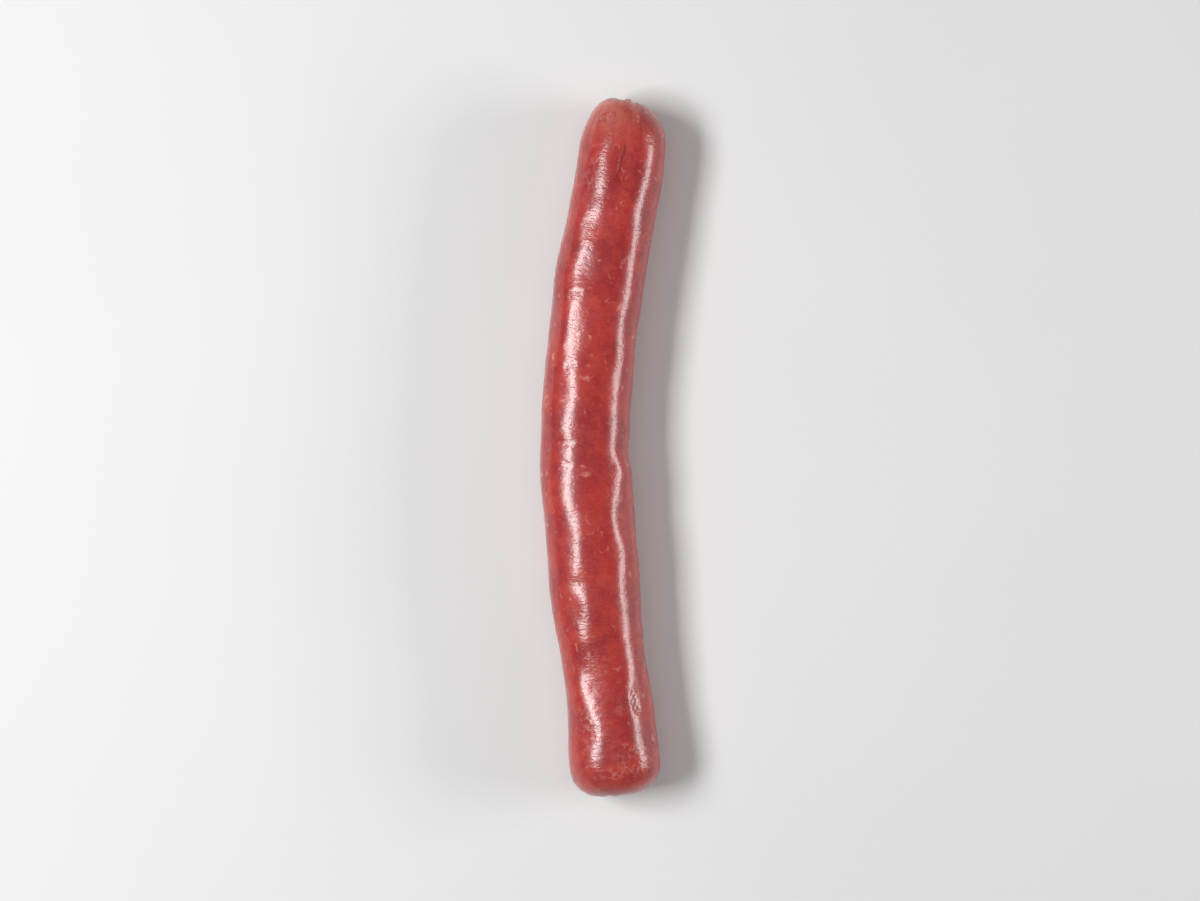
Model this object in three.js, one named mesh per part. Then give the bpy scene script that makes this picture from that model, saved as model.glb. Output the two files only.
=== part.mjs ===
// One raw sausage link in a natural casing, cut from its string and lying on its side.
//
// The link is a single soft body: a slightly bent roll of minced meat, a little wider than it is
// high, flat where it sags onto the surface under it, blunt at one end and longer at the other.
// At each end the casing was twisted and cut, which leaves a small dimple with pleats running out
// of it and a stub of twisted casing a few millimetres long.
//
// Frame, in millimetres: +Y along the link towards its longer end, +X across it towards the inside
// of its bend, +Z up. The origin is on the surface that the link rests on, under the middle of the
// link's box.

import * as THREE from "three";
import { mergeVertices } from "three/addons/utils/BufferGeometryUtils.js";

// ---- Driving dimensions ----

const LENGTH = 181.2; // from end to end, measured straight along Y
const HEIGHT_SHARE = 0.93; // half the height over half the width, because soft meat sags
const AXIS_HEIGHT = 10.1; // of the link's middle line over the surface it rests on
const END_DROOP = 0.9; // how much lower that line is at the two ends
const SQUARENESS = 2.15; // exponent of the cross-section: 2 is an ellipse, more is squarer

// The middle line seen from above: how far it stands off to the side at even steps of the length,
// from the blunt end to the long end. The link bulges towards -X.
const BEND = [3.1, 1.7, -1.5, -3.4, -4.9, -3.6, -0.8, 3.5, 6.2];

// Half the width at even steps between the two points given in GIRTH_SPAN.
const GIRTH = [12.0, 10.9, 11.7, 11.9, 11.8, 11.5, 11.7, 11.5, 11.2];
const GIRTH_SPAN = [-80, 80];

// Each end: the length and the squareness of its rounding, and its slant: how far a millimetre
// across is pushed along.
const BLUNT_END = { depth: 9.4, squareness: 2.1, slant: 0.1 };
const LONG_END = { depth: 14.4, squareness: 2.3, slant: -0.25 };
const SLANT_FROM = 82; // mm from the middle of the link, where the slant of an end begins

// The dimple at each end and the stub of twisted casing that stands in it: how deep, how long, and
// how far the stub leans over to +X and up.
const BLUNT_KNOT = { dimple: 1.5, stub: 1.6, lean: [-0.2, -0.5] };
const LONG_KNOT = { dimple: 1.4, stub: 2.1, lean: [0.7, 0.4] };
const DIMPLE_REACH = 2.1; // how wide the dimples open

// A stub from its tip down to the dimple's floor: radius, and share of its length over the floor.
// Its section is flattened and turns as it rises.
const STUB = [
  [0, 1],
  [0.7, 0.95],
  [1.05, 0.74],
  [0.8, 0.46],
  [0.85, 0.22],
];
const STUB_FOOT = 1.3; // radius at which the stub widens out into the floor
const STUB_FLATNESS = 0.2;
const STUB_TWIST = 2.2; // radians for each millimetre of its height

// Pleats of the casing gathered around each stub: how deep, the radius where they are deepest, how
// far out they reach, and how far each turns sideways on its way out.
const PLEATS = { count: 8, depth: 0.5, radius: 2.4, reach: 5.5, twist: 0.12 };

// Where coarse meat lifts the casing: waves along (mm) and around (whole turns), and their height.
// Lumps and dents set in between the two radii of RELIEF_FROM, clear of the knots.
const RELIEF_FROM = [3, 8];
const LUMPS = [
  { along: 27, around: 2, height: 0.16, phase: 0.4 },
  { along: 17, around: 3, height: 0.11, phase: 2.1 },
  { along: 11, around: 1, height: 0.07, phase: 4.4 },
];

// Dents and creases: where they are (mm along Y, degrees around from the top towards +X), how far
// they reach along and around (mm), and how deep they go.
const DENTS = [
  { at: 73.5, around: 9, along: 5.2, across: 2.1, depth: 0.42 }, // fold in the casing, long end
  { at: -1, around: 78, along: 3.4, across: 7.5, depth: 0.5 }, // waist on the inside of the bend
  { at: 1.5, around: -48, along: 1.6, across: 4.6, depth: 0.34 }, // crease on the outside of it
  { at: 31, around: -62, along: 5.5, across: 4.5, depth: 0.3 },
  { at: -47, around: -35, along: 6.5, across: 5.5, depth: 0.36 }, // flat before the blunt end
  { at: -66.5, around: 42, along: 2.6, across: 3.6, depth: 0.34 },
  { at: 57, around: -30, along: 4.2, across: 4.2, depth: 0.26 },
];

// ---- Resolution ----

const SIDES = 48; // facets around the link
const RING_STEP = 3; // mm between the rings of facets along it
const END_RINGS = 14; // rings in the rounding of each end

const MEAT_RED = 0xa63b36;

// ---- Helpers ----

const deg = Math.PI / 180;
const halfLength = LENGTH / 2;

// A smooth curve through evenly spaced values, read at a share from 0 to 1.
function smoothThrough(values) {
  const points = values.map((v, i) => new THREE.Vector2(i / (values.length - 1), v));
  const curve = new THREE.SplineCurve(points);
  return (share) => curve.getPoint(THREE.MathUtils.clamp(share, 0, 1)).y;
}

const bendAt = smoothThrough(BEND);
const girthAt = smoothThrough(GIRTH);
const sidewaysAt = (y) => bendAt((y + halfLength) / LENGTH);
const halfWidthAt = (y) => girthAt((y - GIRTH_SPAN[0]) / (GIRTH_SPAN[1] - GIRTH_SPAN[0]));

// A bump of height 1 at 0 that has faded to nothing at about twice its reach.
const bump = (distance, reach) => Math.exp(-((distance / reach) ** 2));

// Signed power, for superellipses.
const power = (value, exponent) => Math.sign(value) * Math.abs(value) ** exponent;

// ---- The link before it is bent: a turned profile from the blunt end to the long end ----

// Rings of one end, from the stub's tip inwards. side is -1 at the blunt end and 1 at the long end.
function endProfile(end, knot, side) {
  const pole = side * halfLength;
  const radius = halfWidthAt(side * (halfLength - end.depth));
  const floor = pole - side * knot.dimple;
  const points = STUB.map(([r, share]) => new THREE.Vector2(r, floor + side * share * knot.stub));
  const exponent = 2 / end.squareness;
  const start = Math.asin((STUB_FOOT / radius) ** (1 / exponent));
  for (let i = 0; i <= END_RINGS; i++) {
    const turn = THREE.MathUtils.lerp(start, Math.PI / 2, (i / END_RINGS) ** 1.3);
    const r = radius * Math.sin(turn) ** exponent;
    const rounding = end.depth * (1 - Math.max(Math.cos(turn), 0) ** exponent);
    const dimple = knot.dimple * bump(r - STUB_FOOT, DIMPLE_REACH);
    points.push(new THREE.Vector2(r, pole - side * (rounding + dimple)));
  }
  return points;
}

function bodyProfile() {
  const from = -halfLength + BLUNT_END.depth;
  const to = halfLength - LONG_END.depth;
  const rings = Math.round((to - from) / RING_STEP);
  const points = [];
  for (let i = 1; i < rings; i++) {
    const y = THREE.MathUtils.lerp(from, to, i / rings);
    points.push(new THREE.Vector2(halfWidthAt(y), y));
  }
  return points;
}

// ---- Relief: how far the casing stands off the plain form, outwards ----

function lumpsAt(y, turn) {
  return LUMPS.reduce((sum, l) => {
    const wave = Math.sin((2 * Math.PI * y) / l.along + l.around * turn + l.phase);
    return sum + l.height * wave;
  }, 0);
}

function dentsAt(y, turn) {
  return DENTS.reduce((sum, d) => {
    const middle = d.around * deg;
    const apart = Math.atan2(Math.sin(turn - middle), Math.cos(turn - middle));
    const across = apart * halfWidthAt(y);
    return sum - d.depth * bump(y - d.at, d.along) * bump(across, d.across);
  }, 0);
}

// Pleats run out of the dimple, uneven round it, and fade over the end's rounding.
function pleatsAt(r, y, turn) {
  const nearEnd = THREE.MathUtils.smoothstep(Math.abs(y), halfLength - PLEATS.reach, halfLength - 1);
  const rising = THREE.MathUtils.smoothstep(r, 1, PLEATS.radius);
  const fade = rising * bump(r - PLEATS.radius, PLEATS.reach / 2) * nearEnd;
  const uneven = 0.75 + 0.25 * Math.sin(3 * turn + y);
  const wander = 0.5 * Math.sin(2 * turn + 1) + PLEATS.twist * r * Math.sign(y);
  const fold = 0.5 - 0.5 * Math.cos(PLEATS.count * turn + wander);
  return -PLEATS.depth * fade * uneven * fold;
}

// ---- Bending the profile into the link ----

// Where a point of the turned form goes. turn is its angle from the top towards +X, and normal is
// the form's outward direction there: its share away from the middle line, and along it.
function placed(radius, along, turn, normal) {
  const onBody = THREE.MathUtils.smoothstep(radius, ...RELIEF_FROM);
  const uneven = lumpsAt(along, turn) + dentsAt(along, turn);
  const relief = onBody * uneven + pleatsAt(radius, along, turn);
  const y = along + relief * normal.y;
  const end = y < 0 ? BLUNT_END : LONG_END;
  const knot = y < 0 ? BLUNT_KNOT : LONG_KNOT;
  const overFloor = Math.abs(y) - halfLength + knot.dimple;
  const onStub = radius < STUB_FOOT ? Math.max(overFloor, 0) / knot.stub : 0;
  const flattening = onStub > 0 ? STUB_FLATNESS * Math.cos(2 * turn + STUB_TWIST * overFloor) : 0;
  const r = (radius + relief * normal.x) * (1 + flattening);
  const across = r * power(Math.sin(turn), 2 / SQUARENESS);
  const up = r * HEIGHT_SHARE * power(Math.cos(turn), 2 / SQUARENESS);

  // The middle line here, and which way it runs.
  const inside = THREE.MathUtils.clamp(y, -halfLength, halfLength);
  const step = 0.5;
  const slope = (sidewaysAt(inside + step) - sidewaysAt(inside - step)) / (2 * step);
  const ahead = new THREE.Vector2(slope, 1).normalize();
  const slanted = end.slant * across * THREE.MathUtils.smoothstep(Math.abs(y), SLANT_FROM, halfLength);
  const forwards = y - inside + slanted;

  // The twisted stub leans over, more towards its tip.
  const leaning = onStub ** 1.5;
  const drooping = END_DROOP * (Math.abs(inside) / halfLength) ** 6;
  const z = AXIS_HEIGHT - drooping + up + knot.lean[1] * leaning;
  return new THREE.Vector3(
    sidewaysAt(inside) + across * ahead.y + forwards * ahead.x + knot.lean[0] * leaning,
    inside - across * ahead.x + forwards * ahead.y,
    Math.max(z, 0), // the underside lies flat on the surface
  );
}

function linkGeometry() {
  const profile = [
    ...endProfile(BLUNT_END, BLUNT_KNOT, -1),
    ...bodyProfile(),
    ...endProfile(LONG_END, LONG_KNOT, 1).reverse(),
  ];
  const turned = new THREE.LatheGeometry(profile, SIDES);
  const position = turned.getAttribute("position");
  const normals = turned.getAttribute("normal");
  for (let i = 0; i < position.count; i++) {
    const r = Math.hypot(position.getX(i), position.getZ(i));
    const turn = Math.atan2(position.getX(i), position.getZ(i));
    const outwards = Math.hypot(normals.getX(i), normals.getZ(i));
    const normal = new THREE.Vector2(outwards, normals.getY(i));
    const p = placed(r, position.getY(i), turn, normal);
    position.setXYZ(i, p.x, p.y, p.z);
  }
  turned.deleteAttribute("normal");
  turned.deleteAttribute("uv");
  const geometry = mergeVertices(turned, 1e-3);
  geometry.computeBoundingBox();
  const middle = geometry.boundingBox.getCenter(new THREE.Vector3());
  geometry.translate(-middle.x, -middle.y, 0);
  return geometry;
}

const meat = new THREE.MeshStandardMaterial({ color: MEAT_RED, roughness: 0.3, metalness: 0 });
const link = new THREE.Mesh(linkGeometry(), meat);
link.name = "sausage_link";

const part = new THREE.Group();
part.add(link);

export default part;
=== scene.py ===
"""A raw sausage link: red minced meat in a natural sheep casing, lying on its side.

The link is modelled straight, as a roll turned about the Y axis. Its surface is then worked with
small vertex moves (meat pushing at the casing, folds, creases, crinkled patches, pleats round the
ends) and the whole roll is bent and laid down flat on its underside. A stub of twisted casing sits
in the dimple at each end.

Blender's own unit is the metre. The shape is worked out in millimetres and turned into metres
where vertices are written. +Y runs along the link towards its longer end, +X across it towards
the inside of its bend, +Z up.
"""

from collections import namedtuple
from math import asin, atan2, copysign, cos, exp, hypot, pi, radians, sin, tan, tau

import bpy
from bpy.props import FloatProperty, FloatVectorProperty, IntProperty, PointerProperty
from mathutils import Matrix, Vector, noise


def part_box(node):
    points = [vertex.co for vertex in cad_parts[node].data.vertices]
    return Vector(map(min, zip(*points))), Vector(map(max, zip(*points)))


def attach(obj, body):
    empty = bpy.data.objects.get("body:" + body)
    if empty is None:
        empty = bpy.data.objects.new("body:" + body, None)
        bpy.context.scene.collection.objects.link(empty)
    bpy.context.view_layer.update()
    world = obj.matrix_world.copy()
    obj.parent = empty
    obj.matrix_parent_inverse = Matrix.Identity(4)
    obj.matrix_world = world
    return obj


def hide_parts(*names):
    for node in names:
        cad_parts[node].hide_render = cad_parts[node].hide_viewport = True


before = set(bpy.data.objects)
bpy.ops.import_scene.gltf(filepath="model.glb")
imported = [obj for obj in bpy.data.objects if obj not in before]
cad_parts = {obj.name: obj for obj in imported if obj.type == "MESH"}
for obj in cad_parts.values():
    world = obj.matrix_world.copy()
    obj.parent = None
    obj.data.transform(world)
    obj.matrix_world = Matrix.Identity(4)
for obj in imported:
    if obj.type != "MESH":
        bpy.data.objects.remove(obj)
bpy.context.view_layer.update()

bl_info = {
    "name": "Raw Sausage Link",
    "version": (1, 0, 0),
    "blender": (4, 5, 0),
    "location": "View3D > Sidebar > Sausage",
    "description": "Adds a raw sausage link in a natural casing, with its twisted ends",
    "category": "Add Mesh",
}

MM = 0.001  # metres in a millimetre
NODE = "sausage_link"  # the solid that the link and its twisted ends stand for
BODY = "root"

LOW, HIGH = (Vector(corner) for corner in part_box(NODE))
EXTENT = (HIGH - LOW) / MM  # of the solid link, in mm


# ---- Sizes of the link's form, in millimetres ----

SLANTED_TIPS = 0.3  # how much further the slanted ends reach than the middle line
# How far the middle line stands off sideways, at even steps from the blunt end to the long end.
BEND = (3.1, 1.7, -1.5, -3.4, -4.9, -3.6, -0.8, 3.5, 6.2)
GIRTH = (12.0, 10.9, 11.7, 11.9, 11.8, 11.5, 11.7, 11.5, 11.2)  # half widths, at even steps
GIRTH_SPAN = (-80, 80)  # where the first and the last value of the girth lie along the link
SQUARENESS = 2.15  # exponent of the section: 2 is an ellipse, more is squarer
END_DROOP = 0.9  # how much lower the middle line is at the two ends
DROOP_POWER = 6  # how late towards the ends the droop sets in
SLANT_FROM = 82  # from the middle of the link, where the slant of an end begins
OVER_ORIGIN = Vector((0.195, -0.03, 0))  # brings the bent link's box over the origin

# Each end: length and squareness of its rounding, how far a millimetre across is pushed along,
# depth of its dimple, length and lean (+X, up) of the twisted stub in it, and how strong its pale
# veil is: the gathered casing's milky colour, with painted light on the rounding of the end.
End = namedtuple("End", "side depth squareness slant dimple stub lean veil")
BLUNT_END = End(-1, 9.6, 2.4, 0.04, 1.2, 1.25, (-0.2, -0.7), 0.22)
LONG_END = End(1, 14.4, 2.3, -0.16, 1.4, 1.25, (0.4, 0.1), 1.2)
DIMPLE_REACH = 2.1  # how wide the dimples open
DIMPLE_FLOOR = 1.3  # radius of the dimple's flat floor, under the stub

# The pale veil over the ends, partly the milky colour of gathered casing and partly painted light:
# how far it reaches from an end, how strong it is above the middle line and how much stronger to
# the -X side, where the stronger lamp shines, and the depth at which a pleat halves it, which leaves
# painted shade in the hollows of the pleats.
VEIL_REACH = 16
VEIL_EVEN = 0.65
VEIL_LIT_SIDE = 0.35
VEIL_PLEAT = 0.45

# Its streaks follow a cone round each end, so that they run to the twist: the cone's radius, how
# far a millimetre outwards counts along it, and how far it lies from the other end's pattern.
FAN_RADIUS = 5
FAN_OUTWARDS = 0.3
FAN_APART = 20

# Pleats of the casing gathered into each dimple: how many, how deep, the radius where they are
# deepest, how far out they reach, and how far each turns sideways on its way out.
Pleats = namedtuple("Pleats", "count depth radius reach twist")
PLEATS = (
    Pleats(8, 0.5, 2.4, 5.5, 0.12),
    Pleats(21, 0.16, 3.2, 6.5, 0.2),
)

# Waves where coarse meat lifts the casing: along (mm), around (whole turns), height and phase.
Wave = namedtuple("Wave", "along around height phase")
WAVES = (Wave(27, 2, 0.11, 0.4), Wave(17, 3, 0.06, 2.1), Wave(11, 1, 0.03, 4.4))
RELIEF_FROM = (3, 8)  # radii between which the relief sets in, clear of the ends

# Dents (below zero) and swellings: place along Y, degrees around from the top towards +X, reach
# along and across, and height.
Spot = namedtuple("Spot", "at around along across height")
SPOTS = (
    Spot(73.5, 9, 5.2, 2.1, -0.42),  # long fold in the casing near the long end
    Spot(-1, 78, 3.4, 7.5, -0.5),  # waist on the inside of the bend
    Spot(1.5, -48, 1.6, 4.6, -0.34),  # crease on the outside of it
    Spot(31, -62, 5.5, 4.5, -0.3),
    Spot(-47, -35, 6.5, 5.5, -0.36),  # flat before the blunt end
    Spot(-66.5, 42, 3.6, 4.0, -0.12),
    Spot(64, -29, 3.6, 4.2, -0.28),
    Spot(-35, -17, 2.0, 5.5, -0.27),  # shallow waist across the outside of the bend
    Spot(-57, -22, 5.5, 6.0, -0.42),
    Spot(75.5, -22, 4.0, 4.0, 0.16),
    Spot(80.5, 37, 3.2, 3.4, -0.22),
    Spot(43, -30, 4.2, 4.5, -0.16),
    Spot(61, 36, 4.5, 3.6, -0.15),
    Spot(8, -16, 9.0, 4.0, -0.16),  # flattened, which widens the shine
    Spot(-18, -17, 8.0, 3.8, -0.13),
    Spot(12, 150, 11.0, 6.0, -0.2),
    Spot(-52, -120, 9.0, 6.0, -0.22),
    Spot(44, -140, 8.0, 5.0, -0.18),
)

# Places where the filling lies crooked under the casing, so the surface leans: place along Y,
# degrees around, reach along, and how far it leans towards the -X side.
Lean = namedtuple("Lean", "at around along degrees")
LEANS = (
    Lean(71, -22, 4.5, 2),
    Lean(56.5, -34, 4.0, -8),
    Lean(46, -30, 4.5, -7),
    Lean(30.5, -30, 8.0, -9),
    Lean(13, -20, 7.0, 6),
    Lean(-25, -20, 8.0, 5),
    Lean(-41, -17, 4.0, 9),
    Lean(-61, -29, 3.5, -7),
    Lean(-73, -20, 4.0, 6),
    Lean(61, 35, 5.0, -4),
    Lean(-6, 44, 4.0, 8),
    Lean(-19, 34, 5.0, -6),
    Lean(-37, 35, 6.0, -3),
    Lean(-64, 32, 6.0, -8),
    Lean(-76, 33, 4.0, -6),
)
LEAN_ACROSS = 4.5  # reach of a lean across the link
NEGLIGIBLE = 0.001  # share of a spot or a lean that is too small to count

# Lumps of meat under the casing: size of a lump and how far it lifts.
Grain = namedtuple("Grain", "size height")
GRAINS = (Grain(7.0, 0.06), Grain(3.2, 0.035), Grain(1.5, 0.018))

# Patches where the casing is loose: each height is that of its fine wrinkles.
CRINKLES = (
    Spot(69, -38, 8.0, 3.0, 0.025),
    Spot(-70, -25, 9.0, 3.4, 0.055),
    Spot(-66.7, 36, 3.4, 2.8, 0.025),
    Spot(-81, 29, 3.4, 4.2, 0.09),
    Spot(-84.5, -1, 1.8, 3.2, 0.06),
    Spot(2, -22, 3.2, 3.2, 0.03),
    Spot(-55, -14, 3.2, 3.2, 0.03),
    Spot(-67, 9, 2.2, 2.2, 0.03),
    Spot(86, -28, 3.4, 2.6, 0.05),
    Spot(20, -98, 12.0, 4.0, 0.025),
    Spot(-36, 112, 10.0, 4.5, 0.03),
    Spot(52, 128, 9.0, 4.0, 0.025),
    Spot(-8, 176, 30.0, 6.0, 0.025),
)
LOOSEST = 0.06  # height of the wrinkles where the casing counts as fully loose
WRINKLE = 1.1  # from one fine wrinkle to the next
WRINKLE_DRAWN = 0.55  # share of a distance across the link that counts, which draws them out
SWIRL = 2.3  # size of the swirls that the wrinkles follow
SWIRL_SHIFT = 0.9  # how far they shift a wrinkle, as a share of WRINKLE
SWIRLS_APART = (0.0, 31.7, 63.4)  # where they are read for each direction, so that the three differ
RIDGES = (0.9, 2.1, 2, 0.9, 2.0)  # fall-off, step in size, number of sizes, offset and gain
RIDGES_MEAN = 1.2

# Short sharp folds: where the middle of a fold is, how far it runs and which way (degrees from
# along the link towards around it), how wide its steep and its gentle side are, and its depth.
Fold = namedtuple("Fold", "at around length heading width gentle depth")
FOLDS = (
    Fold(73.6, 0.5, 12.0, 5, 0.45, 2.4, 0.5),
    Fold(39.4, -28, 4.4, 84, 0.4, 1.6, 0.12),
    Fold(21.2, -25, 4.0, 80, 0.4, 1.4, 0.1),
    Fold(1.3, -20, 4.4, 78, 0.35, 0.8, 0.1),
    Fold(-3.9, -22, 3.0, 118, 0.35, 0.8, 0.1),
    Fold(-64.4, 31, 3.0, 42, 0.3, 0.6, 0.12),
    Fold(-65.6, 33, 3.6, 50, 0.3, 0.6, 0.16),
    Fold(-67.0, 35, 3.8, 44, 0.3, 0.6, 0.18),
    Fold(-68.2, 38, 3.0, 56, 0.3, 0.6, 0.14),
    Fold(-3.2, 84, 6.0, 86, 0.5, 1.2, 0.22),
    Fold(2.0, 92, 4.6, 94, 0.45, 1.0, 0.18),
)
FOLD_LIP = 0.12  # height of the lip on the steep side, as a share of the depth
FOLD_LIP_AT = 2.4  # where that lip is, in widths of the steep side
FOLD_SWAY = 0.12  # how far a fold's line sways aside
FOLD_SWAY_TURN = 1.3  # how fast it sways: radians for a millimetre along the fold
FOLD_FADE = (0.3, 0.5)  # where a fold fades out, in lengths from its middle
FOLD_SHADE_LINE = 0.3  # half the width of the painted shade, a dark line down in a fold

SIDES = 40  # of the turned roll, before it is subdivided
RING_STEP = 1.6  # from one ring of the roll to the next
END_RINGS = 15  # rings in the rounding of each end
RING_CROWDING = 1.3  # how much closer the rings lie towards the dimple
FLOOR_RING = 0.7  # radius of the ring on the dimple's floor
SMOOTHING = 2  # levels of subdivision


# ---- Small helpers ----


def linear(colour_hex):
    """An sRGB hex colour as the linear red, green, blue and full alpha that Blender works in."""
    channels = (int(colour_hex[i : i + 2], 16) / 255 for i in (1, 3, 5))
    return *(c / 12.92 if c <= 0.04045 else ((c + 0.055) / 1.055) ** 2.4 for c in channels), 1.0


def clamp(value, low=0.0, high=1.0):
    return min(max(value, low), high)


def smoothstep(value, low, high):
    share = clamp((value - low) / (high - low))
    return share * share * (3 - 2 * share)


def bump(distance, reach):
    """1 at no distance, faded to nothing at about twice the reach."""
    return exp(-((distance / reach) ** 2))


def power(value, exponent):
    return copysign(abs(value) ** exponent, value)


def apart(turn, middle):
    """The angle from middle to turn, the short way round."""
    return atan2(sin(turn - middle), cos(turn - middle))


def smooth_through(values, share):
    """Read a smooth curve through evenly spaced values at a share from 0 to 1."""
    last = len(values) - 1
    place = clamp(share) * last
    i = min(int(place), last - 1)
    t = place - i
    before, here, there, after = (values[clamp(j, 0, last)] for j in range(i - 1, i + 3))
    leaving = (there - before) / 2
    arriving = (after - here) / 2
    cubic = 2 * (here - there) + leaving + arriving
    square = 3 * (there - here) - 2 * leaving - arriving
    return ((cubic * t + square) * t + leaving) * t + here


# ---- The link's form ----


class LinkForm:
    """The shape of the link in millimetres, worked out from the sizes that the user sets."""

    def __init__(self, sizes):
        self.half_length = sizes.length / MM / 2
        self.bend = [value / MM for value in sizes.bend]
        self.girth = [value / MM for value in sizes.half_widths]
        self.height_share = sizes.height_share
        self.axis_height = sizes.axis_height / MM
        self.lumpiness = sizes.lumpiness
        self.crinkling = sizes.crinkling

    def sideways(self, y):
        return smooth_through(self.bend, (y + self.half_length) / (2 * self.half_length))

    def half_width(self, y):
        start, stop = GIRTH_SPAN
        return smooth_through(self.girth, (y - start) / (stop - start))

    # The straight roll, as points of (distance from the Y axis, place along it).

    def end_profile(self, end):
        pole = end.side * self.half_length
        radius = self.half_width(end.side * (self.half_length - end.depth))
        exponent = 2 / end.squareness
        start = asin((DIMPLE_FLOOR / radius) ** (1 / exponent))
        floor = pole - end.side * end.dimple
        points = [(0.0, floor), (FLOOR_RING, floor)]
        for i in range(END_RINGS + 1):
            turn = start + (pi / 2 - start) * (i / END_RINGS) ** RING_CROWDING
            r = radius * sin(turn) ** exponent
            rounding = end.depth * (1 - max(cos(turn), 0) ** exponent)
            dimple = end.dimple * bump(r - DIMPLE_FLOOR, DIMPLE_REACH)
            points.append((r, pole - end.side * (rounding + dimple)))
        return points

    def body_profile(self):
        start = -self.half_length + BLUNT_END.depth
        stop = self.half_length - LONG_END.depth
        rings = round((stop - start) / RING_STEP)
        places = [start + (stop - start) * i / rings for i in range(1, rings)]
        return [(self.half_width(y), y) for y in places]

    def profile(self):
        return [
            *self.end_profile(BLUNT_END),
            *self.body_profile(),
            *reversed(self.end_profile(LONG_END)),
        ]

    # Relief: how far the casing stands off the plain roll, outwards.

    def waves(self, y, turn):
        return sum(w.height * sin(tau * y / w.along + w.around * turn + w.phase) for w in WAVES)

    def near(self, spot, y, turn):
        """How near a place is to the middle of a spot, from 1 down to 0."""
        along = bump(y - spot.at, spot.along)
        if along < NEGLIGIBLE:
            return 0.0
        across = apart(turn, radians(spot.around)) * self.half_width(y)
        return along * bump(across, spot.across)

    def dents(self, y, turn):
        return sum(spot.height * self.near(spot, y, turn) for spot in SPOTS)

    def leans(self, y, turn):
        height = 0.0
        for lean in LEANS:
            along = bump(y - lean.at, lean.along)
            if along > NEGLIGIBLE:
                across = apart(turn, radians(lean.around)) * self.half_width(y)
                height += along * across * bump(across, LEAN_ACROSS) * tan(radians(lean.degrees))
        return height

    def grains(self, place):
        """Lumps of minced meat pushing at the casing."""
        return sum(g.height * noise.noise(place / g.size) for g in GRAINS)

    def loose(self, y, turn):
        """How loose the casing is: the height of its fine wrinkles in mm."""
        return max(spot.height * self.near(spot, y, turn) for spot in CRINKLES)

    def wrinkles(self, place, height):
        """A web of fine ridges, drawn out across the link, as wet skin wrinkles."""
        if height < 2 * NEGLIGIBLE:
            return 0.0
        drawn = Vector((place.x * WRINKLE_DRAWN, place.y, place.z * WRINKLE_DRAWN)) / WRINKLE
        swirl = (noise.noise(place / SWIRL + Vector((apart_by, 0, 0))) for apart_by in SWIRLS_APART)
        drawn += Vector(tuple(swirl)) * SWIRL_SHIFT
        return height * (noise.ridged_multi_fractal(drawn, *RIDGES) - RIDGES_MEAN)

    def folds(self, y, turn):
        """Short sharp folds, steep on one side: how deep they are, and how near their line is, for
        the shade painted down in them.
        """
        depth = line = 0.0
        for fold in FOLDS:
            if abs(y - fold.at) > fold.length:
                continue
            across = apart(turn, radians(fold.around)) * self.half_width(y)
            heading = radians(fold.heading)
            ahead = (y - fold.at) * cos(heading) + across * sin(heading)
            aside = across * cos(heading) - (y - fold.at) * sin(heading)
            aside += FOLD_SWAY * sin(FOLD_SWAY_TURN * ahead)
            width = fold.width if aside < 0 else fold.gentle
            fading, gone = (share * fold.length for share in FOLD_FADE)
            ending = 1 - smoothstep(abs(ahead), fading, gone)
            lip = FOLD_LIP * bump(aside + FOLD_LIP_AT * fold.width, fold.width)
            depth += fold.depth * ending * (bump(aside, width) - lip)
            # how near the fold's line is, where shade is painted
            deep_enough = smoothstep(fold.depth, 0.0, 0.3)
            line = max(line, ending * bump(aside, FOLD_SHADE_LINE) * deep_enough)
        return -depth, line

    def pleats(self, r, y, turn):
        """Folds that run out of the dimples and fade over the rounding of the ends."""
        depth = 0.0
        for p in PLEATS:
            near_end = smoothstep(abs(y), self.half_length - p.reach, self.half_length - 1)
            rising = smoothstep(r, 1, p.radius)
            fade = rising * bump(r - p.radius, p.reach / 2) * near_end
            uneven = 0.68 + 0.32 * sin(3 * turn + y) * sin(2 * turn + 0.5)
            wander = 0.5 * sin(2 * turn + 1) + copysign(p.twist * r, y)
            depth += p.depth * fade * uneven * (0.5 - 0.5 * cos(p.count * turn + wander))
        return -depth

    # Bending the straight roll and laying it down.

    def laid(self, point):
        """Where a point of the straight roll comes to lie."""
        r = hypot(point.x, point.z)
        turn = atan2(point.x, point.z)
        end = BLUNT_END if point.y < 0 else LONG_END
        across = r * power(sin(turn), 2 / SQUARENESS)
        up = r * self.height_share * power(cos(turn), 2 / SQUARENESS)
        inside = clamp(point.y, -self.half_length, self.half_length)
        slope = self.sideways(inside + 0.5) - self.sideways(inside - 0.5)
        ahead = Vector((slope, 1)).normalized()
        slanted = end.slant * across * smoothstep(abs(point.y), SLANT_FROM, self.half_length)
        forwards = point.y - inside + slanted
        drooping = END_DROOP * (abs(inside) / self.half_length) ** DROOP_POWER
        laid = Vector((
            self.sideways(inside) + across * ahead.y + forwards * ahead.x,
            inside - across * ahead.x + forwards * ahead.y,
            max(self.axis_height - drooping + up, 0),
        ))
        return laid + OVER_ORIGIN


# ---- Modelling steps shared by the pieces ----


def begin_piece(name):
    """Start a mesh object at the origin, in edit mode, with one selected vertex in it."""
    bpy.ops.object.select_all(action="DESELECT")
    bpy.ops.mesh.primitive_plane_add(size=MM, location=(0, 0, 0))
    piece = bpy.context.object
    piece.name = piece.data.name = name
    bpy.ops.object.mode_set(mode="EDIT")
    bpy.ops.mesh.select_all(action="SELECT")
    bpy.ops.mesh.merge(type="CENTER")
    return piece


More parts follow.
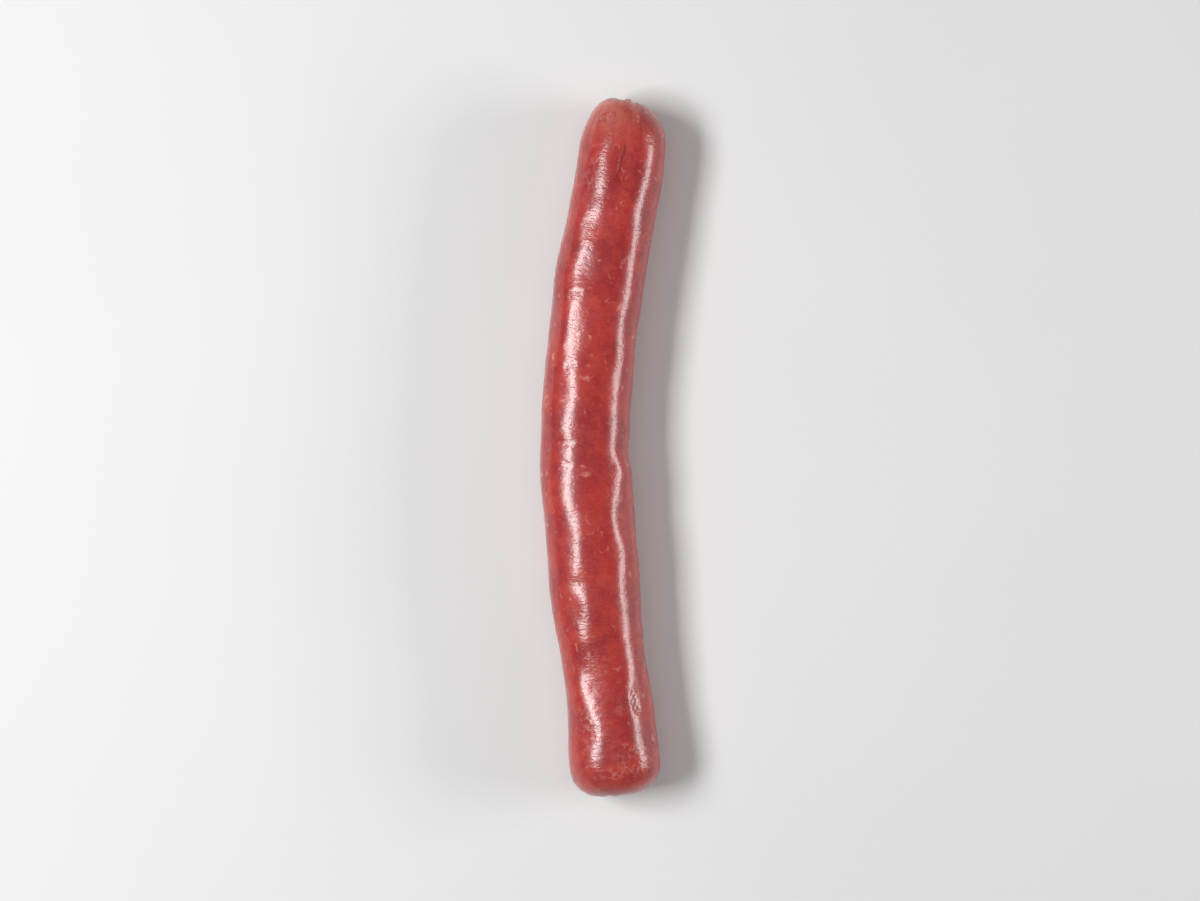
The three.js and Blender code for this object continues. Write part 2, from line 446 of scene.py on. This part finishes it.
def turn_profile(profile, sides):
    """Draw a profile of (distance from the Y axis, place along it) and turn it about that axis."""
    points = [Vector((r * MM, y * MM, 0)) for r, y in profile]
    bpy.ops.transform.translate(value=points[0])
    for here, there in zip(points, points[1:]):
        bpy.ops.mesh.extrude_vertices_move(TRANSFORM_OT_translate={"value": there - here})
    bpy.ops.mesh.select_all(action="SELECT")
    bpy.ops.mesh.spin(steps=sides, angle=tau, center=(0, 0, 0), axis=(0, 1, 0))
    bpy.ops.mesh.select_all(action="SELECT")
    bpy.ops.mesh.remove_doubles(threshold=0.01 * MM)
    bpy.ops.mesh.normals_make_consistent(inside=False)


def subdivide_smoothly(piece, levels):
    smoothing = piece.modifiers.new("Smoothing", "SUBSURF")
    smoothing.levels = smoothing.render_levels = levels
    bpy.ops.object.modifier_apply(modifier=smoothing.name)


def add_float_attribute(piece, name, values):
    piece.data.attributes.new(name, "FLOAT", "POINT").data.foreach_set("value", values)


def add_place_attribute(piece, name, places):
    """Keep a place for each vertex, in metres, for patterns that follow the straight roll."""
    flat = [value for place in places for value in place]
    piece.data.attributes.new(name, "FLOAT_VECTOR", "POINT").data.foreach_set("vector", flat)


def finish_piece(piece, material):
    bpy.ops.object.shade_smooth()
    piece.data.materials.append(material)
    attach(piece, BODY)
    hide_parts(NODE)


# ---- Materials ----

ATTRIBUTE = "ShaderNodeAttribute"
NOISE = "ShaderNodeTexNoise"
CELLS = "ShaderNodeTexVoronoi"
MAP = "ShaderNodeMapRange"
MATHS = "ShaderNodeMath"
VECTORS = "ShaderNodeVectorMath"
CHANNELS = "ShaderNodeSeparateColor"
MIX = "ShaderNodeMix"
SOFTLY = {"interpolation_type": "SMOOTHSTEP"}
PALE_PAINT = (0.9, 0.9, 0.9, 1.0)  # where the roller left the board's paint thicker


def add_node(tree, kind, inputs=(), **settings):
    """Add a node with its settings, and set or link its inputs.

    Inputs are given by name, or in the order of those in use. One that is itself a node is
    linked from the first of that node's outputs in use.
    """
    added = tree.nodes.new(kind)
    for name, value in settings.items():
        setattr(added, name, value)
    if isinstance(inputs, dict):
        pairs = [(added.inputs[name], value) for name, value in inputs.items()]
    else:
        pairs = zip((socket for socket in added.inputs if socket.enabled), inputs)
    for socket, value in pairs:
        if isinstance(value, bpy.types.Node):
            value = next(output for output in value.outputs if output.enabled)
        if isinstance(value, bpy.types.NodeSocket):
            tree.links.new(value, socket)
        else:
            socket.default_value = value
    return added


def per_mm(size):
    """The scale of a pattern in metres whose cells or waves measure size in mm."""
    return 1 / (size * MM)


def new_material(name):
    """A material with an empty node tree, and the tree."""
    material = bpy.data.materials.new(name)
    material.use_nodes = True
    material.node_tree.nodes.clear()
    return material, material.node_tree


def bits(tree, where, spacing, share, radius, softness, amount):
    """Scattered bits under the casing: one for a share of the cells that are spacing mm apart."""
    cells = add_node(tree, CELLS, (where, per_mm(spacing)))
    chance = add_node(tree, CHANNELS, (cells.outputs["Color"],))
    size = add_node(tree, MAP, (chance, 1 - share, 1.0, 0.0, radius / spacing), **SOFTLY)
    inside = add_node(tree, MATHS, (size, cells), operation="SUBTRACT")
    return add_node(tree, MAP, (inside, -0.01, softness / spacing, 0.0, amount), **SOFTLY)


def torn_outlines(tree, straight):
    """Places shifted by up to a millimetre, so that what is drawn there has a ragged outline."""
    shift = add_node(tree, NOISE, (straight, per_mm(1.6)))
    offset = add_node(tree, VECTORS, (shift.outputs["Color"], (0.5, 0.5, 0.5)), operation="SUBTRACT")
    return add_node(tree, VECTORS, (offset, (2.2 * MM,) * 3, straight), operation="MULTIPLY_ADD")


def mince_layers(tree, straight, colours):
    """Lean and fatter grains of mince, with bits of fat, paprika and gristle, as seen through
    the casing: layers of colour from the lowest up, each with its amount.
    """
    ragged = torn_outlines(tree, straight)
    lengthwise = add_node(tree, VECTORS, (ragged, (1.0, 0.5, 1.0)), operation="MULTIPLY")
    crosswise = add_node(tree, VECTORS, (ragged, (0.5, 1.0, 0.5)), operation="MULTIPLY")

    # Lean meat, mottled over about 9 mm, and warmer, lighter and darker patches of 5 mm.
    broad = add_node(tree, NOISE, (straight, per_mm(9.0), 3.0))
    mottled = add_node(tree, MAP, (broad, 0.38, 0.62, 0.0, 1.0), **SOFTLY)
    patches = add_node(tree, NOISE, (ragged, per_mm(5.0), 2.0))
    patches = add_node(tree, CHANNELS, (patches.outputs["Color"],))
    warm = add_node(tree, MAP, (patches.outputs["Red"], 0.5, 0.7, 0.0, 0.5), **SOFTLY)
    dark = add_node(tree, MAP, (patches.outputs["Green"], 0.5, 0.7, 0.0, 0.5), **SOFTLY)
    light = add_node(tree, MAP, (patches.outputs["Blue"], 0.52, 0.7, 0.0, 0.4), **SOFTLY)

    # Grains of the mince, about 2.4 mm across.
    inputs = {"Vector": ragged, "Scale": per_mm(2.4), "Smoothness": 0.5}
    grains = add_node(tree, CELLS, inputs, feature="SMOOTH_F1")
    tones = add_node(tree, CHANNELS, (grains.outputs["Color"],))
    light_grains = add_node(tree, MAP, (tones.outputs["Red"], 0.4, 0.85, 0.0, 0.3), **SOFTLY)
    dark_grains = add_node(tree, MAP, (tones.outputs["Green"], 0.45, 0.85, 0.0, 0.3), **SOFTLY)
    crumbs = add_node(tree, NOISE, (ragged, per_mm(1.1), 3.0))
    crumbs = add_node(tree, MAP, (crumbs, 0.35, 0.7, 0.0, 0.3), **SOFTLY)

    specks = add_node(tree, NOISE, (straight, per_mm(0.7), 2.0))
    specks = add_node(tree, CHANNELS, (specks.outputs["Color"],))
    pale_specks = add_node(tree, MAP, (specks.outputs["Red"], 0.52, 0.7, 0.0, 0.3), **SOFTLY)
    dark_specks = add_node(tree, MAP, (specks.outputs["Green"], 0.52, 0.7, 0.0, 0.35), **SOFTLY)

    # Thin pale fibres: lines where a smooth cloud passes its middle, kept in patches.
    curl = add_node(tree, NOISE, (straight, per_mm(3.4), 1.0))
    curl = add_node(tree, MATHS, (curl, 0.5), operation="SUBTRACT")
    curl = add_node(tree, MATHS, (curl,), operation="ABSOLUTE")
    curl = add_node(tree, MAP, (curl, 0.03, 0.0, 0.0, 0.2), **SOFTLY)
    kept = add_node(tree, NOISE, (straight, per_mm(2.8), 1.0))
    kept = add_node(tree, MAP, (kept, 0.56, 0.68, 0.0, 1.0), **SOFTLY)
    fibres = add_node(tree, MATHS, (curl, kept), operation="MULTIPLY")
    return (
        (colours.meat, mottled),
        (colours.meat_warm, warm),
        (colours.meat_dark, dark),
        (colours.meat_light, light),
        (colours.meat_light, light_grains),
        (colours.meat_dark, dark_grains),
        (colours.meat_dark, crumbs),
        (colours.meat_light, pale_specks),
        (colours.meat_dark, dark_specks),
        (colours.paprika, bits(tree, ragged, 7.0, 0.5, 1.7, 1.6, 0.5)),
        (colours.speck_and_fold_shade, bits(tree, ragged, 4.3, 0.3, 0.75, 0.6, 0.6)),
        (colours.fat, bits(tree, lengthwise, 3.1, 0.5, 0.8, 0.5, 0.55)),
        (colours.fat, bits(tree, crosswise, 2.7, 0.5, 0.72, 0.5, 0.55)),
        (colours.fat, bits(tree, straight, 1.5, 0.25, 0.32, 0.3, 0.25)),
        (colours.fibre_and_sheen, fibres),
    )


def casing_layers(tree, straight, colours):
    """What is laid over the meat where the casing is creased, loose or gathered: painted shade in
    the folds, and paler casing that is partly painted sheen and light.
    """
    gathered_and_light = add_node(tree, ATTRIBUTE, attribute_name="gathered_and_light").outputs["Fac"]
    loose = add_node(tree, ATTRIBUTE, attribute_name="loose").outputs["Fac"]
    fold_shade = add_node(tree, ATTRIBUTE, attribute_name="fold_shade").outputs["Fac"]
    fan = add_node(tree, ATTRIBUTE, attribute_name="fan").outputs["Vector"]

    # Painted shade: down in a fold the meat is drawn darker, where the fold lies in shade.
    shade = add_node(tree, MAP, (fold_shade, 0.1, 1.0, 0.0, 0.75), **SOFTLY)

    # Loose casing is paler in streaks, partly its own milky colour and partly a painted sheen of
    # scattered light, and has fine pale wrinkles.
    streaks = add_node(tree, NOISE, (straight, per_mm(1.3), 3.0))
    streaks = add_node(tree, MAP, (streaks, 0.42, 0.68, 0.0, 0.3), **SOFTLY)
    milky = add_node(tree, MATHS, (loose, streaks), operation="MULTIPLY")
    lines = add_node(tree, NOISE, (straight, per_mm(1.6), 1.0))
    lines = add_node(tree, MATHS, (lines, 0.5), operation="SUBTRACT")
    lines = add_node(tree, MATHS, (lines,), operation="ABSOLUTE")
    lines = add_node(tree, MAP, (lines, 0.06, 0.0, 0.0, 0.45), **SOFTLY)
    short = add_node(tree, NOISE, (straight, per_mm(1.7), 1.0))
    short = add_node(tree, MAP, (short, 0.47, 0.6, 0.0, 1.0), **SOFTLY)
    lines = add_node(tree, MATHS, (lines, short), operation="MULTIPLY")
    wrinkles = add_node(tree, MATHS, (loose, lines), operation="MULTIPLY")

    # Casing gathered at the ends is a pale warm veil with streaks that run to the twist; the veil is
    # partly painted light, stronger towards the -X side and weaker in the pleats.
    folds = add_node(tree, NOISE, (fan, per_mm(1.1), 3.0))
    folds = add_node(tree, MAP, (folds, 0.3, 0.7, 0.2, 0.6), **SOFTLY)
    veil = add_node(tree, MATHS, (gathered_and_light, folds), operation="MULTIPLY")
    return (
        # painted shade down in the folds, in the colour of the dark specks
        (colours.speck_and_fold_shade, shade),
        # the gathered casing's paler colour, with painted light on the ends
        (colours.film_and_light, veil),
        # paler streaks on loose casing, partly painted sheen
        (colours.fibre_and_sheen, milky),
        (colours.fibre_and_sheen, wrinkles),
    )


def casing_bumps(tree, straight):
    """Ripples drawn out across the link, 0.8 mm apart, hairline creases that run the same way 1
    or 2 mm apart, drawn wider than a hair so that they show, and a grain of 0.5 mm.
    """
    loose = add_node(tree, ATTRIBUTE, attribute_name="loose").outputs["Fac"]
    drawn = add_node(tree, VECTORS, (straight, (0.35, 1.0, 0.35)), operation="MULTIPLY")
    ripples = add_node(tree, NOISE, (drawn, per_mm(0.8), 2.0))
    stronger = add_node(tree, MATHS, (loose, 0.6, 1.0), operation="MULTIPLY_ADD")
    ripples = add_node(tree, MATHS, (ripples, stronger), operation="MULTIPLY")
    drawn = add_node(tree, VECTORS, (straight, (0.2, 1.0, 0.2)), operation="MULTIPLY")
    creases = add_node(tree, NOISE, (drawn, per_mm(1.3), 1.0))
    creases = add_node(tree, MATHS, (creases, 0.5), operation="SUBTRACT")
    creases = add_node(tree, MATHS, (creases,), operation="ABSOLUTE")
    creases = add_node(tree, MAP, (creases, 0.05, 0.0, 0.0, -0.3), **SOFTLY)
    broken = add_node(tree, NOISE, (straight, per_mm(1.8), 1.0))
    broken = add_node(tree, MAP, (broken, 0.44, 0.56, 0.0, 1.0), **SOFTLY)
    grain = add_node(tree, NOISE, (straight, per_mm(0.55), 2.0))
    height = add_node(tree, MATHS, (creases, broken, ripples), operation="MULTIPLY_ADD")
    height = add_node(tree, MATHS, (grain, 0.4, height), operation="MULTIPLY_ADD")
    inputs = {"Height": height, "Strength": 1.0, "Distance": 0.062 * MM}
    return add_node(tree, "ShaderNodeBump", inputs).outputs["Normal"]


def sheep_casing_over_mince(colours):
    """Natural sheep casing, filled wet with coarsely minced red meat.

    The casing is a clear, moist skin, so the eye sees the meat through it: red grains a few
    millimetres across, small flecks of pale fat, orange spots of paprika fat, dark specks of lean
    and thin pale fibres. The skin itself gives a sharp gloss over a soft one, which is weaker than
    that of bare wet meat. Where the skin is loose or gathered it is drawn paler: its own milky
    colour, with a painted sheen on the loose patches and painted light on the ends. Down in its
    folds the meat is drawn darker as painted shade.
    """
    material, tree = new_material("natural_casing_over_minced_meat")
    straight = add_node(tree, ATTRIBUTE, attribute_name="straight").outputs["Vector"]
    layers = (*mince_layers(tree, straight, colours), *casing_layers(tree, straight, colours))
    meat = colours.meat_dark
    for over, amount in layers:
        meat = add_node(tree, MIX, (amount, meat, over), data_type="RGBA")
    damp = add_node(tree, NOISE, (straight, per_mm(3.0), 3.0))
    bumps = casing_bumps(tree, straight)
    shader = add_node(
        tree,
        "ShaderNodeBsdfPrincipled",
        {
            "Base Color": meat,
            "Roughness": add_node(tree, MAP, (damp, 0.3, 0.7, 0.36, 0.46), **SOFTLY),
            "IOR": 1.22,
            "Subsurface Weight": 0.15,
            "Subsurface Radius": (1.0, 0.3, 0.2),
            "Subsurface Scale": 0.8 * MM,
            "Coat Weight": 1.0,
            "Coat Roughness": 0.24,
            "Coat IOR": 1.5,
            "Normal": bumps,
            "Coat Normal": bumps,
        },
    )
    add_node(tree, "ShaderNodeOutputMaterial", (shader,))
    return material


def twisted_casing(colours):
    """Natural sheep casing, twisted shut, cut and left to dry a little.

    Twisted casing has no meat in it: several layers of thin skin lie over each other, so it turns
    from clear to a milky pink, paler along its ridges, and shines less than the filled link.
    """
    material, tree = new_material("twisted_natural_casing")
    where = add_node(tree, "ShaderNodeTexCoord").outputs["Object"]
    skins = add_node(tree, NOISE, (where, per_mm(0.9), 3.0))
    skins = add_node(tree, MAP, (skins, 0.35, 0.65, 0.0, 1.0), **SOFTLY)
    ridges = add_node(tree, "ShaderNodeNewGeometry").outputs["Pointiness"]
    ridges = add_node(tree, MAP, (ridges, 0.5, 0.62, 0.0, 0.5), **SOFTLY)
    skin = add_node(tree, MIX, (skins, colours.casing_dark, colours.casing), data_type="RGBA")
    skin = add_node(tree, MIX, (ridges, skin, colours.fibre_and_sheen), data_type="RGBA")
    grain = add_node(tree, NOISE, (where, per_mm(0.35)))
    bumps = add_node(
        tree, "ShaderNodeBump", {"Height": grain, "Strength": 0.5, "Distance": 0.04 * MM}
    )
    shader = add_node(
        tree,
        "ShaderNodeBsdfPrincipled",
        {
            "Base Color": skin,
            "Roughness": 0.42,
            "IOR": 1.4,
            "Subsurface Weight": 0.35,
            "Subsurface Radius": (1.0, 0.45, 0.35),
            "Subsurface Scale": 0.8 * MM,
            "Coat Weight": 0.35,
            "Coat Roughness": 0.2,
            "Normal": bumps,
        },
    )
    add_node(tree, "ShaderNodeOutputMaterial", (shader,))
    return material


def matt_board(paint_colour):
    """Pale board, painted matt: plain, with the faintest unevenness from the roller."""
    material, tree = new_material("matt_painted_board")
    where = add_node(tree, "ShaderNodeTexCoord").outputs["Object"]
    rolled = add_node(tree, NOISE, (where, per_mm(60.0)))
    rolled = add_node(tree, MAP, (rolled, 0.3, 0.7, 0.0, 0.04), **SOFTLY)
    paint = add_node(tree, MIX, (rolled, paint_colour, PALE_PAINT), data_type="RGBA")
    shader = add_node(
        tree, "ShaderNodeBsdfPrincipled", {"Base Color": paint, "Roughness": 0.85}
    )
    add_node(tree, "ShaderNodeOutputMaterial", (shader,))
    return material


# ---- What the user can change ----


def in_metres(values):
    return tuple(value * MM for value in values)


class LinkSizes(bpy.types.PropertyGroup):
    """Sizes of the sausage link."""

    length: FloatProperty(
        name="Length",
        description="Length of the link along its middle, measured straight",
        default=(EXTENT.y - SLANTED_TIPS) * MM,
        min=0.04,
        unit="LENGTH",
    )
    half_widths: FloatVectorProperty(
        name="Half widths",
        description="Half the link's width at even steps from the blunt end to the long end",
        default=in_metres(GIRTH),
        size=len(GIRTH),
        unit="LENGTH",
    )
    bend: FloatVectorProperty(
        name="Bend",
        description="How far the middle line stands off sideways, at even steps of the length",
        default=in_metres(BEND),
        size=len(BEND),
        unit="LENGTH",
    )
    height_share: FloatProperty(
        name="Height share",
        description="Height over width of the section; soft meat sags, so it is less than 1",
        default=0.93,
        min=0.5,
        max=1.0,
        subtype="FACTOR",
    )
    axis_height: FloatProperty(
        name="Height of middle line",
        description="How high the middle line lies over the surface that the link rests on",
        default=10.1 * MM,
        unit="LENGTH",
    )
    lumpiness: FloatProperty(
        name="Lumpiness",
        description="How strongly the mince pushes at the casing",
        default=1.0,
        min=0.0,
        max=3.0,
    )
    crinkling: FloatProperty(
        name="Crinkling",
        description="How strongly loose patches of casing are wrinkled",
        default=1.0,
        min=0.0,
        max=3.0,
    )


class KnotSizes(bpy.types.PropertyGroup):
    """Sizes of the twisted stubs of casing."""

    radius: FloatProperty(
        name="Radius",
        description="Radius of a stub at its widest",
        default=1.05 * MM,
        min=0.0002,
        unit="LENGTH",
    )
    strands: IntProperty(
        name="Folds",
        description="Folds of casing that are twisted together",
        default=5,
        min=3,
        max=9,
    )
    twist: FloatProperty(
        name="Twist",
        description="How far a stub is twisted from its foot to its tip",
        default=radians(150),
        subtype="ANGLE",
    )


def colour(name, description, colour_hex):
    return FloatVectorProperty(
        name=name,
        description=description,
        subtype="COLOR",
        size=4,
        min=0.0,
        max=1.0,
        default=linear(colour_hex),
    )


class LinkColours(bpy.types.PropertyGroup):
    """Colours of the meat and its casing."""

    meat: colour("Meat", "Lean red meat", "#B0332D")
    meat_warm: colour("Warm meat", "Grains dyed by paprika", "#BE4534")
    meat_light: colour("Light meat", "Fatter grains", "#BF4A3F")
    meat_dark: colour("Dark meat", "Leaner grains", "#95282C")
    fat: colour("Fat", "Flecks of fat", "#D98C7C")
    paprika: colour("Paprika", "Fat dyed by paprika", "#CC5A38")
    # also painted down in the folds as shade
    speck_and_fold_shade: colour("Specks", "Dark specks of lean", "#761D22")
    # also the pale streaks on loose casing, partly painted sheen
    fibre_and_sheen: colour("Fibres", "Thin pale fibres and wrinkled casing", "#E0AA9F")
    # the pale veil over the ends: gathered casing's colour together with painted light
    film_and_light: colour("Film", "Gathered casing over the meat", "#E4917C")
    casing: colour("Casing", "Layers of twisted casing", "#DFB2A6")
    casing_dark: colour("Dark casing", "Hollows of the twist", "#C98478")


class StageSizes(bpy.types.PropertyGroup):
    """The floor, the camera and the lights."""

    floor_size: FloatProperty(
        name="Floor", description="Side of the square floor", default=2.4, unit="LENGTH"
    )
    floor_colour: colour("Floor colour", "Pale floor", "#DEDEDE")
    view_width: FloatProperty(
        name="View width",
        description="How much the camera takes in across, at the link's height",
        default=0.312,
        unit="LENGTH",
    )
    camera_height: FloatProperty(
        name="Camera height",
        description="How high the camera hangs over the link's middle line",
        default=0.867,
        unit="LENGTH",
    )


# ---- The pieces ----


class SAUSAGE_OT_add_link(bpy.types.Operator):
    """Add the filled link: meat in its casing, bent and laid down"""

    bl_idname = "sausage.add_link"
    bl_label = "Add Link"

    def execute(self, context):
        scene = context.scene
        form = LinkForm(scene.sausage_link)
        piece = begin_piece("meat_in_casing")
        turn_profile(form.profile(), SIDES)
        bpy.ops.object.mode_set(mode="OBJECT")
        subdivide_smoothly(piece, SMOOTHING)
        self.work_surface(piece, form)
        finish_piece(piece, sheep_casing_over_mince(scene.sausage_colours))
        return {"FINISHED"}

    def work_surface(self, piece, form):
        """Move the vertices of the straight roll out by their relief, then bend it."""
        straight, fan, gathered_and_light, loose, fold_shade, laid = [], [], [], [], [], []
        for vertex in piece.data.vertices:
            place = vertex.co / MM
            r = hypot(place.x, place.z)
            turn = atan2(place.x, place.z)
            on_body = smoothstep(r, *RELIEF_FROM)
            slack = form.loose(place.y, turn)
            pleats = form.pleats(r, place.y, turn)
            relief = form.waves(place.y, turn) + form.dents(place.y, turn)
            relief += form.leans(place.y, turn)
            relief += form.lumpiness * form.grains(place)
            relief += form.crinkling * form.wrinkles(place, slack)
            folds, line = form.folds(place.y, turn)
            relief = on_body * relief + folds + pleats
            straight.append(vertex.co.copy())
            fan_y = FAN_OUTWARDS * r + FAN_APART * copysign(1, place.y)
            fan.append(Vector((FAN_RADIUS * sin(turn), fan_y, FAN_RADIUS * cos(turn))) * MM)
            loose.append(clamp(slack / LOOSEST))
            # where shade is painted down in the folds
            fold_shade.append(line)
            end = BLUNT_END if place.y < 0 else LONG_END
            # the pale veil over the ends: gathered casing, with painted light stronger towards the
            # -X side and kept out of the pleats' hollows as painted shade
            near_end = smoothstep(abs(place.y), form.half_length - VEIL_REACH, form.half_length)
            lit_side = VEIL_EVEN - VEIL_LIT_SIDE * sin(turn)
            outside = 1 - 0.5 * clamp(-pleats / VEIL_PLEAT)
            gathered_and_light.append(end.veil * near_end * lit_side * outside)
            laid.append(form.laid(place + vertex.normal * relief))
        flat = [value * MM for place in laid for value in place]
        piece.data.vertices.foreach_set("co", flat)
        piece.data.update()
        add_place_attribute(piece, "straight", straight)
        add_place_attribute(piece, "fan", fan)
        add_float_attribute(piece, "gathered_and_light", gathered_and_light)
        add_float_attribute(piece, "loose", loose)
        add_float_attribute(piece, "fold_shade", fold_shade)


class SAUSAGE_OT_add_knots(bpy.types.Operator):
    """Add the twisted stub of casing in the dimple at each end"""

    bl_idname = "sausage.add_knots"
    bl_label = "Add Twisted Ends"

    # From the foot to the tip: share of the length, share of the radius.
    SHAPE = ((-0.35, 1.25), (0.0, 0.9), (0.22, 0.78), (0.46, 0.8), (0.74, 1.0), (0.95, 0.72))
    # Shares of the radius: down in a stub's folds and out on them, and its tip's inset and depth.
    FLUTE_IN = 0.72
    FLUTE_OUT = 1.12
    TIP_INSET = 0.3
    TIP_DEPTH = 0.25
    SMOOTHING = 3  # levels of subdivision

    def execute(self, context):
        scene = context.scene
        form = LinkForm(scene.sausage_link)
        material = twisted_casing(scene.sausage_colours)
        for name, end in (("twist_blunt_end", BLUNT_END), ("twist_long_end", LONG_END)):
            piece = self.twisted_stub(name, end, scene.sausage_knots)
            self.set_in_dimple(piece, end, form)
            finish_piece(piece, material)
        return {"FINISHED"}

    def twisted_stub(self, name, end, sizes):
        """A fluted tube along +Z, twisted as it rises and closed at its tip."""
        bpy.ops.object.select_all(action="DESELECT")
        foot_share, foot_width = self.SHAPE[0]
        radius = sizes.radius * foot_width
        bpy.ops.mesh.primitive_circle_add(
            vertices=2 * sizes.strands,
            radius=radius,
            fill_type="NGON",
            location=(0, 0, foot_share * end.stub * MM),
        )
        piece = bpy.context.object
        piece.name = piece.data.name = name
        bpy.ops.object.transform_apply(location=True)
        for i, vertex in enumerate(piece.data.vertices):
            vertex.co.xy *= self.FLUTE_OUT if i % 2 else self.FLUTE_IN
        bpy.ops.object.mode_set(mode="EDIT")
        bpy.ops.mesh.select_all(action="SELECT")
        for (low, before), (high, after) in zip(self.SHAPE, self.SHAPE[1:]):
            rise = (high - low) * end.stub * MM
            bpy.ops.mesh.extrude_region_move(TRANSFORM_OT_translate={"value": (0, 0, rise)})
            top = (0, 0, high * end.stub * MM)
            width = after / before
            bpy.ops.transform.resize(value=(width, width, 1), center_override=top)
            bpy.ops.transform.rotate(
                value=sizes.twist * (high - low),
                orient_axis="Z",
                center_override=top,
            )
        inset = self.TIP_INSET * sizes.radius
        bpy.ops.mesh.inset(thickness=inset, depth=-self.TIP_DEPTH * sizes.radius)
        bpy.ops.mesh.select_all(action="SELECT")
        bpy.ops.mesh.normals_make_consistent(inside=False)
        bpy.ops.object.mode_set(mode="OBJECT")
        subdivide_smoothly(piece, self.SMOOTHING)
        return piece

    def set_in_dimple(self, piece, end, form):
        """Turn the stub to point out of its end, lean it over and bend it as the link is bent."""
        floor = form.half_length - end.dimple
        for vertex in piece.data.vertices:
            place = vertex.co / MM
            risen = clamp(place.z / end.stub) ** 1.5
            along = end.side * (floor + place.z)
            straight = Vector((place.x * end.side, along, place.y))
            leaning = Vector((end.lean[0], 0, end.lean[1])) * risen
            vertex.co = (form.laid(straight) + leaning) * MM
        piece.data.update()


# ---- The stage ----


class SAUSAGE_OT_add_stage(bpy.types.Operator):
    """Add the floor, the soft lights and the camera"""

    bl_idname = "sausage.add_stage"
    bl_label = "Add Stage"

    # Soft boxes: degrees from overhead towards +X, place along Y, distance, width and length in
    # metres, power, and whether they show as reflections. The one overhead only lifts shadows.
    SoftBox = namedtuple("SoftBox", "name from_overhead along distance width length watts reflected")
    SOFT_BOXES = (
        SoftBox("strip_left", -40, 0.03, 0.9, 0.23, 0.48, 7.6, True),
        SoftBox("strip_right", 70, 0.0, 0.9, 0.22, 0.46, 4.0, True),
        SoftBox("fill_above", 0, 0.0, 0.9, 0.80, 0.80, 1.4, False),
    )
    AIM = Vector((-0.85, -0.81, 10.0)) * MM  # what the camera looks straight down on

    def execute(self, context):
        stage = context.scene.sausage_stage
        self.add_floor(stage)
        for soft_box in self.SOFT_BOXES:
            self.add_soft_box(soft_box)
        self.add_surroundings(context.scene)
        self.add_camera(context.scene, stage)
        context.scene.view_settings.view_transform = "Standard"
        return {"FINISHED"}

    def add_floor(self, stage):
        bpy.ops.object.select_all(action="DESELECT")
        bpy.ops.mesh.primitive_plane_add(size=stage.floor_size, location=(0, 0, 0))
        floor = bpy.context.object
        floor.name = "floor"
        floor.data.materials.append(matt_board(stage.floor_colour))

    def add_soft_box(self, soft_box):
        angle = radians(soft_box.from_overhead)
        place = Vector((sin(angle), 0, cos(angle))) * soft_box.distance
        place.y = soft_box.along
        bpy.ops.object.light_add(type="AREA", location=place, rotation=(0, angle, 0))
        light = bpy.context.object
        light.name = soft_box.name
        light.data.shape = "RECTANGLE"
        light.data.size = soft_box.width
        light.data.size_y = soft_box.length
        light.data.energy = soft_box.watts
        light.visible_camera = False
        light.visible_glossy = soft_box.reflected

    def add_surroundings(self, scene):
        world = bpy.data.worlds.new("soft_white_room")
        world.use_nodes = True
        background = world.node_tree.nodes["Background"]
        background.inputs["Color"].default_value = (1, 1, 1, 1)
        background.inputs["Strength"].default_value = 0.1
        scene.world = world

    def add_camera(self, scene, stage):
        above = self.AIM + Vector((0, 0, stage.camera_height))
        bpy.ops.object.camera_add(location=above, rotation=(0, 0, 0))
        camera = bpy.context.object
        camera.name = "camera"
        camera.data.sensor_width = 36
        camera.data.lens = camera.data.sensor_width * stage.camera_height / stage.view_width
        scene.camera = camera


# ---- Panel, registration and running as a script ----


class SAUSAGE_PT_panel(bpy.types.Panel):
    """Sizes, colours and pieces of the sausage link"""

    bl_label = "Raw Sausage Link"
    bl_space_type = "VIEW_3D"
    bl_region_type = "UI"
    bl_category = "Sausage"

    def draw(self, context):
        for group, operator in GROUPS_AND_OPERATORS:
            box = self.layout.box()
            settings = getattr(context.scene, group)
            for name in settings.bl_rna.properties.keys():
                if name not in ("rna_type", "name"):
                    box.prop(settings, name)
            if operator:
                box.operator(operator)


GROUPS = {
    "sausage_link": LinkSizes,
    "sausage_colours": LinkColours,
    "sausage_knots": KnotSizes,
    "sausage_stage": StageSizes,
}
GROUPS_AND_OPERATORS = (
    ("sausage_colours", None),
    ("sausage_link", SAUSAGE_OT_add_link.bl_idname),
    ("sausage_knots", SAUSAGE_OT_add_knots.bl_idname),
    ("sausage_stage", SAUSAGE_OT_add_stage.bl_idname),
)
OTHER_CLASSES = (
    SAUSAGE_OT_add_link,
    SAUSAGE_OT_add_knots,
    SAUSAGE_OT_add_stage,
    SAUSAGE_PT_panel,
)


def register():
    for name, group in GROUPS.items():
        bpy.utils.register_class(group)
        setattr(bpy.types.Scene, name, PointerProperty(type=group))
    for cls in OTHER_CLASSES:
        bpy.utils.register_class(cls)


def unregister():
    for cls in reversed(OTHER_CLASSES):
        bpy.utils.unregister_class(cls)
    for name, group in GROUPS.items():
        delattr(bpy.types.Scene, name)
        bpy.utils.unregister_class(group)


def main():
    register()
    bpy.ops.sausage.add_link()
    bpy.ops.sausage.add_knots()
    bpy.ops.sausage.add_stage()


if __name__ == "__main__":
    main()
